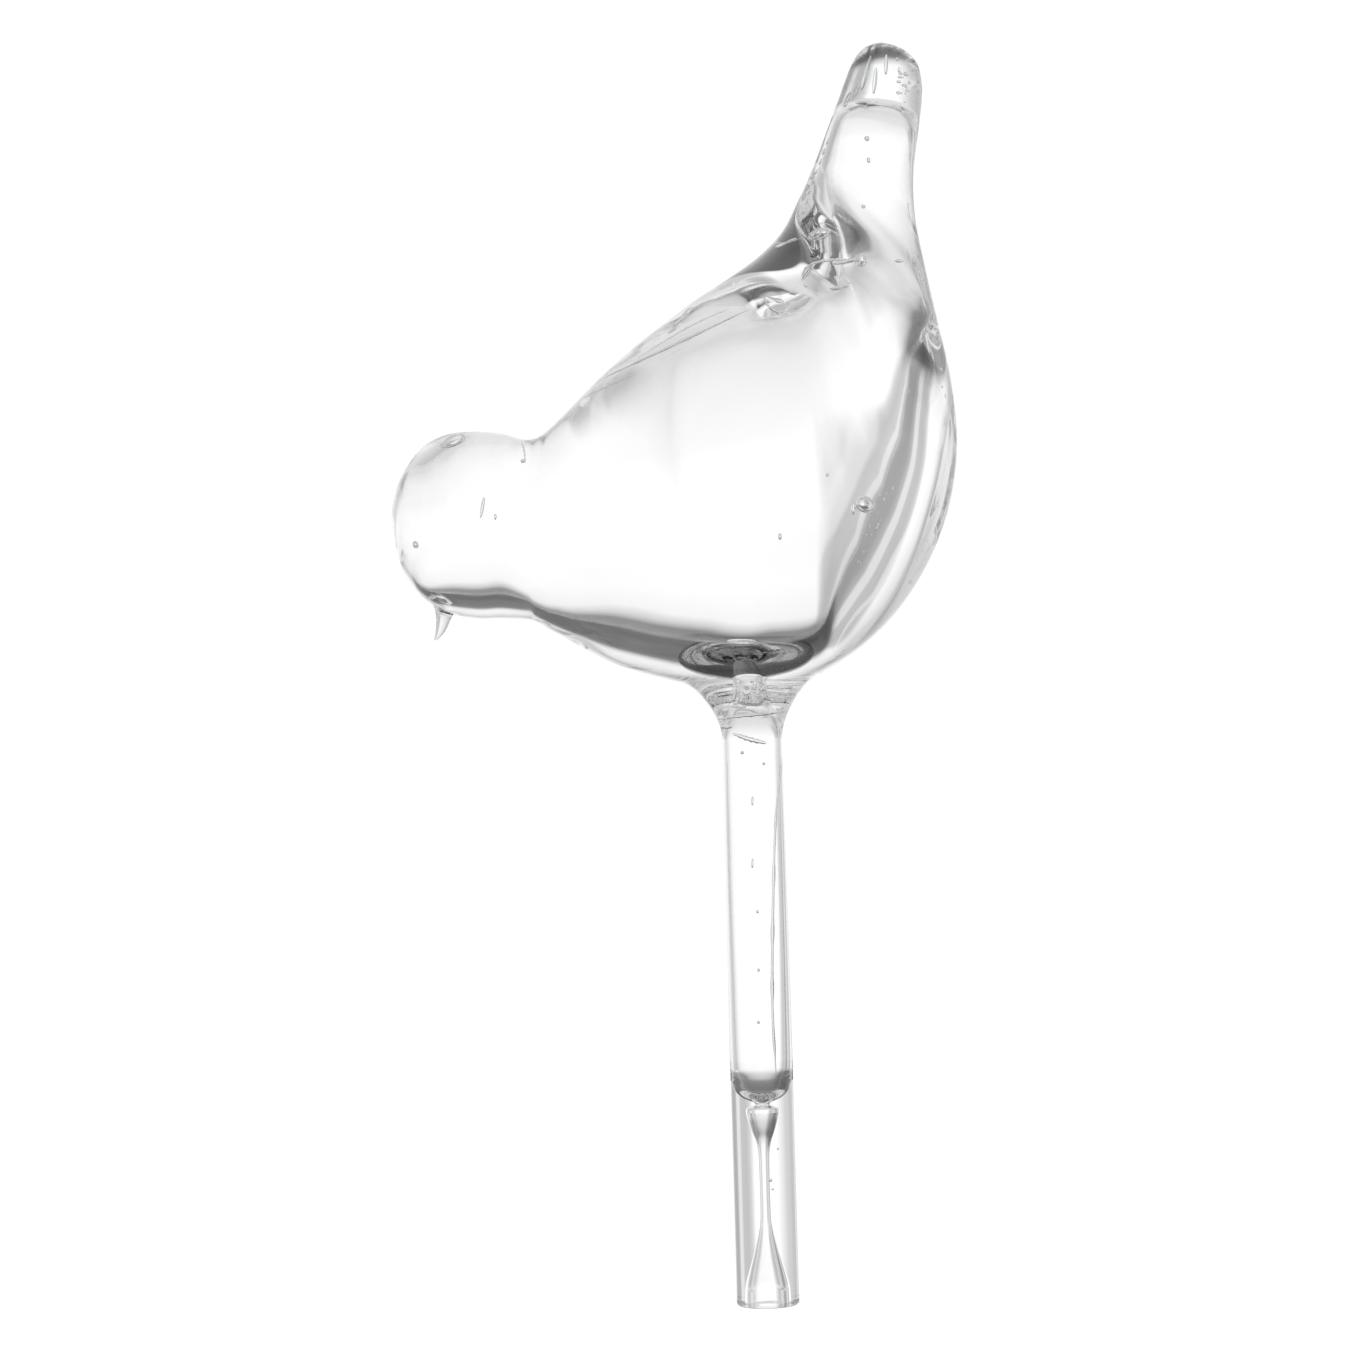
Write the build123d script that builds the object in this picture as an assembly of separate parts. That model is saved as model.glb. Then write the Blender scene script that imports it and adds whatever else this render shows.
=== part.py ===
from build123d import *
import os

# Clear glass watering globe in the shape of a bird, in millimetres.
# The origin is the middle of the stem's tip, +Z runs up the stem and the head looks towards -X.

# Stem, from the tip upwards.
stem_radius = 5.25
stem_top_radius = 5.0
stem_wall = 1.2
drip_stem_length = 32.2
throttle_length = 8.5
stem_tube_length = 53.5
tip_round = 0.6

# Capillary in the lower stem.
mouth_radius = 2.6
mouth_depth = 4.0
mouth_cone_length = 9.0
capillary_radius = 0.6
funnel_radius = 1.9
funnel_length = 5.0
cup_depth = 6.5

# Flared ring between the stem and the belly.
collar_height = 8.2
collar_flare = 3.9
collar_lap = 6.0

# Body, from the neck seam to the rump and from the belly to the root of the tail.
body_length = 72.0
body_height = 76.1
body_width = 64.0
neck_to_stem = 36.2
neck_rise = 13.3
neck_height = 29.5
neck_width = 28.4
belly_wall = 8.3
back_wall = 11.9
rump_wall = 8.5
side_wall = 9.2

# Head, from the neck seam to the brow.
head_length = 22.8
head_height = 31.2
head_width = 30.4
brow_wall = 1.4
crown_wall = 1.6
throat_wall = 4.6
cheek_wall = 3.3

# Tail, from its root on the back to its tip.
tail_length = 31.2
tail_lean = 18.0
tail_width = 14.6
tail_bore = 11.2
tail_seal = 1.0

# Beak under the head, whose rows give its radius and how far down it they lie.
beak_length = 4.8
beak_radius = 1.6
beak_lean = 1.4
beak_root_share = (0.645, 0.045)
beak_shares = [(1.2, -0.3), (1.0, 0.15), (0.72, 0.5), (0.5, 0.8), (0.25, 1.0)]

stem_bore_radius = stem_top_radius - stem_wall
throttle_z = drip_stem_length
stem_tube_z = throttle_z + throttle_length
collar_z = stem_tube_z + stem_tube_length
belly_z = collar_z + collar_height
neck_x = -neck_to_stem
neck_z = belly_z + neck_rise

# Outline rows, chosen along the side view. Each gives the back, the underside and the half depth there.
# In a head row the first share runs along the head from the neck, the others up from the throat.
brow_share = (1.0, 0.52)
head_row_shares = [
    ((0.972, 0.68), (0.972, 0.37), 0.33),
    ((0.915, 0.785), (0.92, 0.245), 0.57),
    ((0.775, 0.917), (0.785, 0.118), 0.83),
    ((0.6, 0.985), (0.6, 0.035), 0.97),
    ((0.385, 1.0), (0.4, 0.0), 1.0),
    ((0.17, 0.985), (0.2, -0.003), 0.98),
]

# In a body row the shares run from the neck seam and up from the belly.
body_row_shares = [
    ((0.031, 0.57), (0.022, 0.16), 0.47),
    ((0.058, 0.59), (0.045, 0.143), 0.505),
    ((0.21, 0.724), (0.213, 0.058), 0.78),
    ((0.387, 0.85), (0.45, 0.003), 0.975),
    ((0.468, 0.898), (0.582, 0.003), 1.0),
    ((0.533, 0.938), (0.706, 0.054), 0.98),
    ((0.576, 0.972), (0.815, 0.131), 0.925),
    ((0.603, 1.0), (0.904, 0.239), 0.83),
]
tail_root_share = (0.603, 1.0)

# In a root row the front share runs from the root of the tail and the rump share is the body's.
root_row_shares = [
    ((0.078, 0.07), (0.966, 0.368), 0.73),
    ((0.144, 0.147), (0.996, 0.515), 0.63),
    ((0.214, 0.228), (0.986, 0.668), 0.54),
    ((0.283, 0.311), (0.958, 0.8), 0.45),
    ((0.353, 0.407), (0.932, 0.926), 0.375),
]

# In a tail row both shares run from the root of the tail.
tail_row_shares = [
    ((0.422, 0.502), (1.244, 0.077), 1.38),
    ((0.492, 0.607), (1.244, 0.308), 1.2),
    ((0.561, 0.702), (1.294, 0.51), 1.05),
    ((0.633, 0.808), (1.339, 0.689), 0.945),
    ((0.692, 0.888), (1.339, 0.798), 0.85),
    ((0.769, 0.955), (1.294, 0.894), 0.66),
    ((0.872, 0.989), (1.178, 0.96), 0.385),
]

# Rows of the hollow, as shares of the hollow's own length and height inside the walls.
brow_hollow_share = (1.0, 0.485)
head_hollow_row_shares = [
    ((0.977, 0.636), (0.977, 0.316), 0.3),
    ((0.92, 0.75), (0.915, 0.176), 0.545),
    ((0.775, 0.86), (0.795, 0.066), 0.82),
    ((0.6, 0.962), (0.6, 0.02), 0.96),
    ((0.4, 0.996), (0.4, 0.0), 1.0),
    ((0.183, 0.98), (0.19, 0.012), 0.985),
]
body_hollow_row_shares = [
    ((0.065, 0.63), (0.058, 0.13), 0.535),
    ((0.157, 0.732), (0.148, 0.085), 0.684),
    ((0.25, 0.792), (0.244, 0.046), 0.807),
    ((0.356, 0.845), (0.357, 0.016), 0.912),
    ((0.475, 0.903), (0.48, 0.0), 0.982),
    ((0.595, 0.952), (0.611, 0.0), 1.0),
    ((0.714, 0.983), (0.73, 0.03), 0.925),
    ((0.827, 1.0), (0.832, 0.141), 0.8),
    ((0.916, 0.988), (0.913, 0.316), 0.63),
    ((0.97, 0.939), (0.965, 0.521), 0.46),
    ((0.992, 0.866), (0.99, 0.69), 0.24),
]
rump_hollow_share = (1.0, 0.782)

# Rows of the tail's bore: its middle, as shares from the root of the tail, then half width and depth.
dome_share = (0.922, 0.66)
tail_bore_row_shares = [
    ((0.9, 0.614), 0.74, 0.73),
    ((0.892, 0.537), 0.99, 0.98),
    ((0.844, 0.396), 1.07, 1.12),
    ((0.8, 0.213), 1.14, 1.29),
    ((0.789, 0.032), 1.25, 1.5),
    ((0.811, -0.157), 1.32, 1.75),
    ((0.872, -0.34), 1.29, 1.85),
    ((0.967, -0.495), 1.04, 1.5),
    ((1.03, -0.598), 0.64, 0.9),
]
bore_end_share = (1.04, -0.641)

# How far a quarter ellipse's Bezier handles reach along its arms.
quarter_pull = (2**0.5 - 1) * 4 / 3

# Sections that each form is made through, spread evenly over its rows, and the flat at its ends.
end_flat = 0.3
bird_section_count = 36
hollow_section_count = 24
bore_section_count = 14


def in_side_view(corner, size, share):
    return Vector(corner[0] + share[0] * size[0], 0, corner[1] + share[1] * size[1])


def head_point(share):
    return in_side_view((neck_x, neck_z), (-head_length, head_height), share)


def head_hollow_point(share):
    size = (brow_wall - head_length, head_height - crown_wall - throat_wall)
    return in_side_view((neck_x, neck_z + throat_wall), size, share)


def body_point(share):
    return in_side_view((neck_x, belly_z), (body_length, body_height), share)


def body_hollow_point(share):
    size = (body_length - rump_wall, body_height - belly_wall - back_wall)
    return in_side_view((neck_x, belly_z + belly_wall), size, share)


def tail_point(share):
    root = body_point(tail_root_share)
    return in_side_view((root.X, root.Z), (tail_lean, tail_length), share)


def ellipse_between(back, under, half_depth):
    """Ellipse across the bird, in four quarters, standing on the line from its back to its underside."""
    middle = (back + under) / 2
    arms = [(under - back) / 2, Vector(0, half_depth, 0)]
    arms += [-arms[0], -arms[1]]
    quarters = []
    for start, end in zip(arms, arms[1:] + arms[:1]):
        first_pull = middle + start + end * quarter_pull
        last_pull = middle + end + start * quarter_pull
        quarters.append(Bezier(middle + start, first_pull, last_pull, middle + end))
    return make_face(quarters)


def marks_along(rows):
    """Distance run at each row, as the mean of the runs along the back and the underside."""
    marks = [0]
    for before, after in zip(rows, rows[1:]):
        run = ((after[0] - before[0]).length + (after[1] - before[1]).length) / 2
        marks.append(marks[-1] + run)
    return marks


def eased(values, marks, place):
    """Cubic through the values at their marks, with each slope taken from the two neighbours."""
    last = len(marks) - 1
    start = max(index for index in range(last) if marks[index] <= place)
    span = marks[start + 1] - marks[start]
    along = (place - marks[start]) / span
    slopes = []
    for index in (start, start + 1):
        low = max(index - 1, 0)
        high = min(index + 1, last)
        slopes.append((values[high] - values[low]) * (span / (marks[high] - marks[low])))
    rise = 3 * along**2 - 2 * along**3
    leave = along**3 - 2 * along**2 + along
    arrive = along**3 - along**2
    return values[start] * (1 - rise) + values[start + 1] * rise + slopes[0] * leave + slopes[1] * arrive


def smooth_form(rows, section_count):
    """Closed form through rows of back, underside and half depth, with a tiny flat at each end."""
    marks = marks_along(rows)
    reach = marks[-1] - 2 * end_flat
    sections = []
    for step in range(section_count + 1):
        place = end_flat + reach * step / section_count
        back, under, depth = (eased([row[column] for row in rows], marks, place) for column in range(3))
        sections.append(ellipse_between(back, under, depth))
    return loft(sections)


def rows_of(table, back_point, under_point, half_depth):
    return [(back_point(back), under_point(under), depth * half_depth) for back, under, depth in table]


def make_bird():
    """Outside of the head, body and tail in one smooth run, from the brow to the tail's tip."""
    brow = head_point(brow_share)
    tip = tail_point((1, 1))
    rows = [(brow, brow, 0)]
    rows += rows_of(head_row_shares, head_point, head_point, head_width / 2)
    rows += [(Vector(neck_x, 0, neck_z + neck_height), Vector(neck_x, 0, neck_z), neck_width / 2)]
    rows += rows_of(body_row_shares, body_point, body_point, body_width / 2)
    rows += rows_of(root_row_shares, tail_point, body_point, body_width / 2)
    rows += rows_of(tail_row_shares, tail_point, tail_point, tail_width / 2)
    return smooth_form(rows + [(tip, tip, 0)], bird_section_count)


def make_hollow():
    """Hollow of the head and body, from inside the brow to inside the rump."""
    brow = head_hollow_point(brow_hollow_share)
    rump = body_hollow_point(rump_hollow_share)
    neck_top = Vector(neck_x, 0, neck_z + neck_height - crown_wall)
    neck_floor = Vector(neck_x, 0, neck_z + throat_wall)
    rows = [(brow, brow, 0)]
    rows += rows_of(head_hollow_row_shares, head_hollow_point, head_hollow_point, head_width / 2 - cheek_wall)
    rows += [(neck_top, neck_floor, neck_width / 2 - cheek_wall)]
    rows += rows_of(body_hollow_row_shares, body_hollow_point, body_hollow_point, body_width / 2 - side_wall)
    return smooth_form(rows + [(rump, rump, 0)], hollow_section_count)


def make_tail_bore():
    """Bore of the tail, from its dome down into the hollow of the body."""
    dome = tail_point(dome_share)
    end = tail_point(bore_end_share)
    rows = [(dome, dome, 0)]
    for middle_share, width, depth in tail_bore_row_shares:
        middle = tail_point(middle_share)
        half = Vector(width * tail_bore / 2, 0, 0)
        rows.append((middle + half, middle - half, depth * tail_bore / 2))
    return smooth_form(rows + [(end, end, 0)], bore_section_count)


def turned(outline):
    """Solid turned about the stem's axis from a closed outline of radius and height."""
    return revolve(Plane.XZ * make_face(outline), axis=Axis.Z)


def upright(radius, bottom, top):
    """Cylinder about the stem's axis, from one height to another."""
    return Pos(0, 0, (bottom + top) / 2) * Cylinder(radius, top - bottom)


def make_drip_stem():
    cone_top = mouth_depth + mouth_cone_length
    funnel_bottom = drip_stem_length - funnel_length
    outline = Polyline(
        (mouth_radius, 0),
        (stem_radius, 0),
        (stem_radius, drip_stem_length),
        (funnel_radius, drip_stem_length),
        (capillary_radius, funnel_bottom),
        (capillary_radius, cone_top),
        (mouth_radius, mouth_depth),
        close=True,
    )
    stem = turned(outline)
    rim = stem.edges().filter_by(GeomType.CIRCLE).group_by(Axis.Z)[0].sort_by(SortBy.RADIUS)[-1]
    return fillet(rim, tip_round)


def make_drip_throttle():
    cup = Pos(0, 0, stem_tube_z) * scale(Sphere(1), (stem_bore_radius, stem_bore_radius, cup_depth))
    plug = upright(stem_radius, throttle_z, stem_tube_z)
    return plug - cup - upright(funnel_radius, throttle_z, stem_tube_z)


def make_stem_tube():
    outline = Polyline(
        (stem_bore_radius, stem_tube_z),
        (stem_radius, stem_tube_z),
        (stem_top_radius, collar_z),
        (stem_bore_radius, collar_z),
        close=True,
    )
    return turned(outline)


def make_stem_collar(bird):
    sweep = TangentArc((stem_top_radius, collar_z), (stem_top_radius + collar_flare, belly_z), tangent=(0, 1))
    lap = Line(sweep @ 1, sweep @ 1 + (sweep % 1) * collar_lap)
    top = lap @ 1
    rest = Polyline(
        (top.X, top.Y),
        (stem_bore_radius, top.Y),
        (stem_bore_radius, collar_z),
        (stem_top_radius, collar_z),
    )
    return turned(sweep + lap + rest) - bird


def make_beak(bird):
    """Nib that narrows and bends forward from its root in the throat."""
    root = head_point(beak_root_share)
    sections = []
    for radius, along in beak_shares:
        forward = beak_lean * along * abs(along)
        place = Plane(origin=(root.X - forward, 0, root.Z - along * beak_length))
        sections.append(place * Circle(radius * beak_radius))
    return loft(sections) - bird


def parted(shape, plane):
    """The two halves of a shape, behind a plane and in front of it."""
    return split(shape, bisect_by=plane, keep=Keep.BOTTOM), split(shape, bisect_by=plane, keep=Keep.TOP)


def single(shape):
    return max(shape.solids(), key=lambda solid: solid.volume)


bird = make_bird()
hollow = make_hollow() + make_tail_bore()
bore = upright(stem_bore_radius, collar_z, belly_z + body_height / 2)

neck_plane = Plane(origin=(neck_x, 0, neck_z), z_dir=(1, 0, 0))
seam_plane = Plane(origin=body_point(tail_root_share))
seal_plane = Plane(origin=tail_point(dome_share) + Vector(0, 0, tail_seal))

head, trunk = parted(bird, neck_plane)
body, tail = parted(trunk, seam_plane)
tail_shell, tail_end = parted(tail, seal_plane)

pieces = {
    "drip_stem": make_drip_stem(),
    "drip_throttle": make_drip_throttle(),
    "stem_tube": make_stem_tube(),
    "stem_collar": make_stem_collar(bird),
    "body_bulb": body - hollow - bore,
    "head_bulb": head - hollow,
    "beak": make_beak(bird),
    "tail_tube": tail_shell - hollow,
    "tail_tip": tail_end,
}

os.makedirs("parts", exist_ok=True)
for name, piece in pieces.items():
    export_step(single(piece), f"parts/{name}.step")
    print(name, round(single(piece).volume), "mm3", len(piece.solids()), "solid")
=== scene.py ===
import math
import bpy
import numpy as np
from mathutils import Matrix


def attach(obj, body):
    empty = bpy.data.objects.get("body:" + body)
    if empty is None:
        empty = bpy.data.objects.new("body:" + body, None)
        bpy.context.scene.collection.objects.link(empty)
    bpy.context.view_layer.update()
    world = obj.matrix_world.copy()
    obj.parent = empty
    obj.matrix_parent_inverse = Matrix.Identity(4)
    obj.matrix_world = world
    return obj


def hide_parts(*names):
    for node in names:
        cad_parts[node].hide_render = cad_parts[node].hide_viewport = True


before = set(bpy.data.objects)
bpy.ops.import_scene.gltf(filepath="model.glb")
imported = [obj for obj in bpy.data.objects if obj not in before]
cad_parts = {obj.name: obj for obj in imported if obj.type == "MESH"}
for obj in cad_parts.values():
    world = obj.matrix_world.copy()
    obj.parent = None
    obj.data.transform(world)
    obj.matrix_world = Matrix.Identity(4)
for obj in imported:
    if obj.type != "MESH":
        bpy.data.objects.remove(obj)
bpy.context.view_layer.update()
print("frame: CAD solids in")

mm = 0.001
fullTurn = 2 * np.pi

# Every measure in the settings is in millimetres, in the part's own frame.
# A form's rows are (back x, back z, underside x, underside z, half depth) from the brow to the tail's tip.
birdSkin = {
    "rows": [
        (-59.0, 131.9, -59.0, 131.9, 0.0),
        (-58.9, 134.3, -58.8, 129.5, 2.6),
        (-58.3, 137.0, -58.2, 126.9, 5.4),
        (-57.0, 140.1, -57.1, 123.3, 8.8),
        (-53.9, 144.2, -54.1, 119.4, 12.6),
        (-49.9, 146.4, -49.9, 116.8, 14.7),
        (-45.0, 146.9, -45.3, 115.7, 15.2),
        (-40.1, 146.4, -40.8, 115.6, 15.4),
        (-36.2, 145.3, -36.2, 115.2, 16.5),
        (-34.0, 145.8, -34.2, 114.2, 17.5),
        (-31.6, 147.6, -31.8, 112.7, 18.8),
        (-21.1, 157.5, -20.9, 106.8, 24.4),
        (-8.3, 167.1, -3.8, 102.6, 30.5),
        (-2.5, 170.7, 5.7, 102.6, 31.7),
        (2.2, 173.8, 14.6, 106.5, 30.2),
        (5.3, 176.4, 22.5, 112.4, 28.0),
        (7.2, 178.5, 28.9, 120.6, 25.6),
        (8.6, 180.7, 33.4, 130.4, 23.0),
        (9.8, 183.1, 35.5, 141.6, 20.2),
        (11.1, 185.6, 34.8, 153.2, 17.3),
        (12.3, 188.2, 32.8, 163.3, 14.4),
        (13.6, 191.2, 30.9, 172.9, 12.0),
        (14.8, 194.2, 29.6, 180.9, 10.1),
        (16.1, 197.4, 29.6, 188.1, 8.8),
        (17.3, 200.4, 30.5, 194.4, 7.7),
        (18.6, 203.7, 31.3, 200.0, 6.9),
        (19.7, 206.2, 31.3, 203.4, 6.2),
        (21.1, 208.3, 30.5, 206.4, 4.8),
        (22.9, 209.4, 28.4, 208.5, 2.8),
        (25.2, 209.7, 25.2, 209.7, 0.0),
    ],
    "neckRow": 8,
    "rootRows": (14, 23),
    "sealRows": (23, 28),
    "ripple": 0.02,
}
birdHollow = {
    "rows": [
        (-57.7, 132.2, -57.7, 132.2, 0.0),
        (-57.2, 136.0, -57.2, 128.4, 4.2),
        (-55.9, 139.1, -55.8, 124.7, 6.9),
        (-52.8, 141.8, -53.2, 121.4, 9.9),
        (-49.0, 144.3, -49.0, 120.0, 11.6),
        (-44.8, 145.2, -44.8, 119.4, 12.0),
        (-40.1, 144.8, -40.3, 119.5, 12.1),
        (-36.2, 143.9, -36.2, 118.9, 12.3),
        (-32.0, 146.2, -32.1, 117.3, 13.7),
        (-26.2, 151.6, -26.8, 115.3, 16.5),
        (-20.3, 155.0, -20.7, 113.3, 19.1),
        (-13.6, 157.9, -13.5, 111.6, 21.4),
        (-6.0, 161.2, -5.7, 110.7, 22.7),
        (1.6, 163.9, 2.6, 110.7, 22.4),
        (7.4, 165.2, 10.6, 113.3, 20.3),
        (9.4, 165.9, 16.6, 120.4, 17.8),
        (10.9, 166.8, 21.2, 129.3, 14.9),
        (12.0, 167.8, 24.2, 138.4, 12.6),
        (12.9, 168.9, 25.8, 147.8, 11.5),
        (13.5, 170.2, 26.9, 155.0, 11.0),
        (13.9, 171.5, 28.3, 158.6, 10.8),
        (14.1, 172.8, 30.4, 161.6, 10.5),
        (14.3, 175.0, 30.6, 166.6, 9.7),
        (14.4, 178.5, 29.3, 175.8, 8.6),
        (14.8, 183.0, 28.3, 181.2, 7.5),
        (15.4, 187.0, 28.1, 186.0, 6.8),
        (16.3, 190.6, 28.4, 190.3, 6.2),
        (17.4, 194.6, 28.9, 194.8, 5.7),
        (18.7, 197.6, 28.3, 197.8, 4.6),
        (20.7, 199.2, 26.8, 199.3, 3.0),
        (23.7, 199.8, 23.7, 199.8, 0.0),
    ],
    "neckRow": 7,
    "rootRows": (22, 26),
    "ripple": 0.02,
}
seams = {"tailRootZ": 178.5, "tailSealZ": 200.3, "collarLap": 11.4, "bellyZ": 102.0}
# Columns round a form and round the stem, the step between a form's rows, and the rows of smaller patches.
density = {
    "columns": 144, "stemColumns": 96, "step": 0.62, "ringRows": 12, "boreRows": 14, "bubble": (14, 20),
}
nudge = 1e-4  # step of the differences that give a surface's slope
pathNudge = 1e-3  # the same along a path
nearReach = 3  # the ripple fades within this of a form's middle, and a pole's middle is taken this far in
weldStep = 2e-4  # points that agree to this are made one
newton = {"steps": 30, "share": 0.6}


def unitOf(arrows):
    # each arrow over its own length, left at nothing where it has none
    return arrows / np.maximum(np.linalg.norm(arrows, axis=-1, keepdims=True), 1e-12)


def turnsOf(columns):
    # angles evenly round a full turn, 2 pi j / columns
    return np.arange(columns) * fullTurn / columns


def cubicThrough(values, marks, places):
    # v = (2u3-3u2+1) v0 + (u3-2u2+u) d s0 + (3u2-2u3) v1 + (u3-u2) d s1, slopes s from the rows on both sides
    at = np.clip(np.searchsorted(marks, places, side="right") - 1, 1, len(marks) - 3)
    span = marks[at + 1] - marks[at]
    u = ((places - marks[at]) / span)[..., None]
    span = span[..., None]
    slope = (values[2:] - values[:-2]) / (marks[2:] - marks[:-2])[:, None]
    start, end = values[at], values[at + 1]
    rise = u * u * (3 - 2 * u)
    lean = slope[at - 1] * u * (1 - u) ** 2 - slope[at] * u * u * (1 - u)
    return start * (1 - rise) + end * rise + span * lean


def pathThrough(points):
    # distances along the points, and the cubic through them by distance, each end carried straight on
    marks = np.concatenate([[0.0], np.cumsum(np.linalg.norm(np.diff(points, axis=0), axis=1))])
    values = np.concatenate([2 * points[:1] - points[1:2], points, 2 * points[-1:] - points[-2:-1]])
    places = np.concatenate([[-marks[1]], marks, [2 * marks[-1] - marks[-2]]])
    return marks, lambda s: cubicThrough(values, places, s)


def ripple(points, amount):
    # w = amount * mean of sin(k.p + phase) over five directions k, a gentle unevenness of blown glass
    waves = np.array([
        (0.31, 0.12, 0.2), (-0.17, 0.36, 0.11), (0.09, -0.24, 0.43), (0.52, 0.31, -0.28), (-0.37, 0.2, 0.61),
    ])
    phases = np.array([0.4, 1.9, 3.1, 5.0, 2.2])
    return amount * np.sin(points @ waves.T + phases).mean(axis=-1)


def readyForm(form):
    # rows as arrays, with a ghost row past each pole that swaps back and underside, so that poles are round
    rows = np.array(form["rows"])
    back, under, depth = rows[:, 0:2], rows[:, 2:4], rows[:, 4:5]
    runOf = lambda edge: np.linalg.norm(np.diff(edge, axis=0), axis=1)
    marks = np.concatenate([[0.0], np.cumsum((runOf(back) + runOf(under)) / 2)])
    ghost = lambda k: np.concatenate([under[k], back[k], -depth[k]])[None]
    values = np.concatenate([ghost(1), np.hstack([back, under, depth]), ghost(-2)])
    ends = np.concatenate([[-marks[1]], marks, [2 * marks[-1] - marks[-2]]])
    form.update(marks=marks, values=values, places=ends)


def formPoint(form, t, angle):
    # P(t,a) = (B+U)/2 + cos a (B-U)/2 + sin a (0,d,0), pushed out along P - middle by the ripple
    row = cubicThrough(form["values"], form["places"], t)
    middle = np.stack([(row[..., 0] + row[..., 2]) / 2, 0 * t, (row[..., 1] + row[..., 3]) / 2], axis=-1)
    arm = np.stack([(row[..., 0] - row[..., 2]) / 2, 0 * t, (row[..., 1] - row[..., 3]) / 2], axis=-1)
    side = np.stack([0 * t, row[..., 4], 0 * t], axis=-1)
    out = np.cos(angle)[..., None] * arm + np.sin(angle)[..., None] * side
    reach = np.linalg.norm(out, axis=-1, keepdims=True)
    points = middle + out
    outward = out / np.maximum(reach, 1e-6) * np.minimum(reach, nearReach) / nearReach
    return points + outward * ripple(points, form["ripple"])[..., None]


def formMiddle(form, t):
    # halfway between back and underside, (P(t,0) + P(t,pi)) / 2
    return (formPoint(form, t, 0 * t) + formPoint(form, t, 0 * t + np.pi)) / 2


def placeAtHeight(form, z, rows, angle):
    # t(a) where the form crosses the level z, halving the bracket between two rows
    low = np.full(angle.shape, form["marks"][rows[0]])
    high = np.full(angle.shape, form["marks"][rows[1]])
    for halving in range(40):
        middle = (low + high) / 2
        below = formPoint(form, middle, angle)[..., 2] < z
        low, high = np.where(below, middle, low), np.where(below, high, middle)
    return (low + high) / 2


def normalsOf(surface, first, second):
    # n = dP/du x dP/dv by central differences
    along = surface(first + nudge, second) - surface(first - nudge, second)
    across = surface(first, second + nudge) - surface(first, second - nudge)
    return unitOf(np.cross(along, across))


def formNormals(form, t, angle):
    # n = dP/dt x dP/da on a form
    return normalsOf(lambda u, v: formPoint(form, u, v), t, angle)


def gridFaces(rows, columns):
    # quads between neighbours (i,j), (i,j+1), (i+1,j+1), (i+1,j), closed round the columns
    i, j = np.meshgrid(np.arange(rows - 1), np.arange(columns), indexing="ij")
    k = (j + 1) % columns
    corners = [i * columns + j, i * columns + k, (i + 1) * columns + k, (i + 1) * columns + j]
    return np.stack(corners, axis=-1).reshape(-1, 4)


def patchOf(points, normals, out, glass=True, keep=None):
    # a grid of points and normals made to point the way that out does, which also stands in for a lost normal
    faces = gridFaces(*points.shape[:2])
    if keep is not None:
        faces = faces[keep.reshape(-1)]
    flat, n, away = points.reshape(-1, 3), normals.reshape(-1, 3), out.reshape(-1, 3)
    n = n * np.where(np.sum(n * away, axis=-1) < 0, -1, 1)[:, None]
    lost = np.linalg.norm(n, axis=-1) < 0.5
    n[lost] = unitOf(away)[lost]
    p = flat[faces]
    faceOut = np.cross(p[:, 2] - p[:, 0], p[:, 3] - p[:, 1])
    turned = np.sum(faceOut * n[faces].mean(axis=1), axis=-1) < 0
    faces[turned] = faces[turned][:, ::-1]
    return {"points": flat, "normals": n, "faces": faces, "glass": glass}


def stripBetween(first, second, out, rows=3, glass=False):
    # P(s,j) = (1-s) A_j + s B_j, ruled from one rim to the other
    s = np.linspace(0, 1, rows)[:, None, None]
    points = first[None] * (1 - s) + second[None] * s
    normals = np.broadcast_to(np.array(out, float), points.shape).copy()
    return patchOf(points, normals, normals, glass)


def formPatch(form, startPlace, endPlace, inside, hole=None):
    # rows between t0(a) and t1(a); normals leave the glass, so inside a hollow they point at its middle
    columns = density["columns"]
    angle = turnsOf(columns)
    startPlace = startPlace + 0 * angle
    endPlace = endPlace + 0 * angle
    rows = int(np.max(endPlace - startPlace) / density["step"]) + 3
    s = np.linspace(0, 1, rows)[:, None]
    t = startPlace * (1 - s) + endPlace * s
    a = np.broadcast_to(angle, t.shape)
    points = formPoint(form, t, a)
    out = points - formMiddle(form, t)
    poles = np.linalg.norm(out, axis=-1) < 1e-3
    if poles.any():
        near = np.clip(t, form["marks"][0] + nearReach, form["marks"][-1] - nearReach)
        out[poles] = (points - formMiddle(form, near))[poles]
    normals = formNormals(form, t, a)
    normals[poles] = 0
    made = {"t": t, "a": a, "points": points}
    keep = None
    if hole is not None:
        made["rect"] = i0, i1, j0, j1 = hole(points)
        keep = np.ones((rows - 1, columns), bool)
        keep[i0:i1, j0:j1] = False
    made["patch"] = patchOf(points, normals, -out if inside else out, keep=keep)
    return made


def holeUnder(xLow, xHigh, halfAngle):
    # the grid's rows and columns about the underside that span the given stretch
    def find(points):
        # the last row before xLow and the first after xHigh, and half the columns on either side
        middle = points.shape[1] // 2
        line = points[:, middle, 0]
        half = int(round(halfAngle / fullTurn * points.shape[1]))
        rising = np.arange(len(line))
        i0 = int(rising[line < xLow].max()) if (line < xLow).any() else 0
        i1 = int(rising[(line > xHigh)].min())
        return i0, i1, middle - half, middle + half
    return find


def rectRim(rect):
    # index pairs once round the opening in the grid
    i0, i1, j0, j1 = rect
    top = [(i0, j) for j in range(j0, j1)]
    right = [(i, j1) for i in range(i0, i1)]
    bottom = [(i1, j) for j in range(j1, j0, -1)]
    left = [(i, j0) for i in range(i1, i0, -1)]
    return np.array(top + right + bottom + left)


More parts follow.
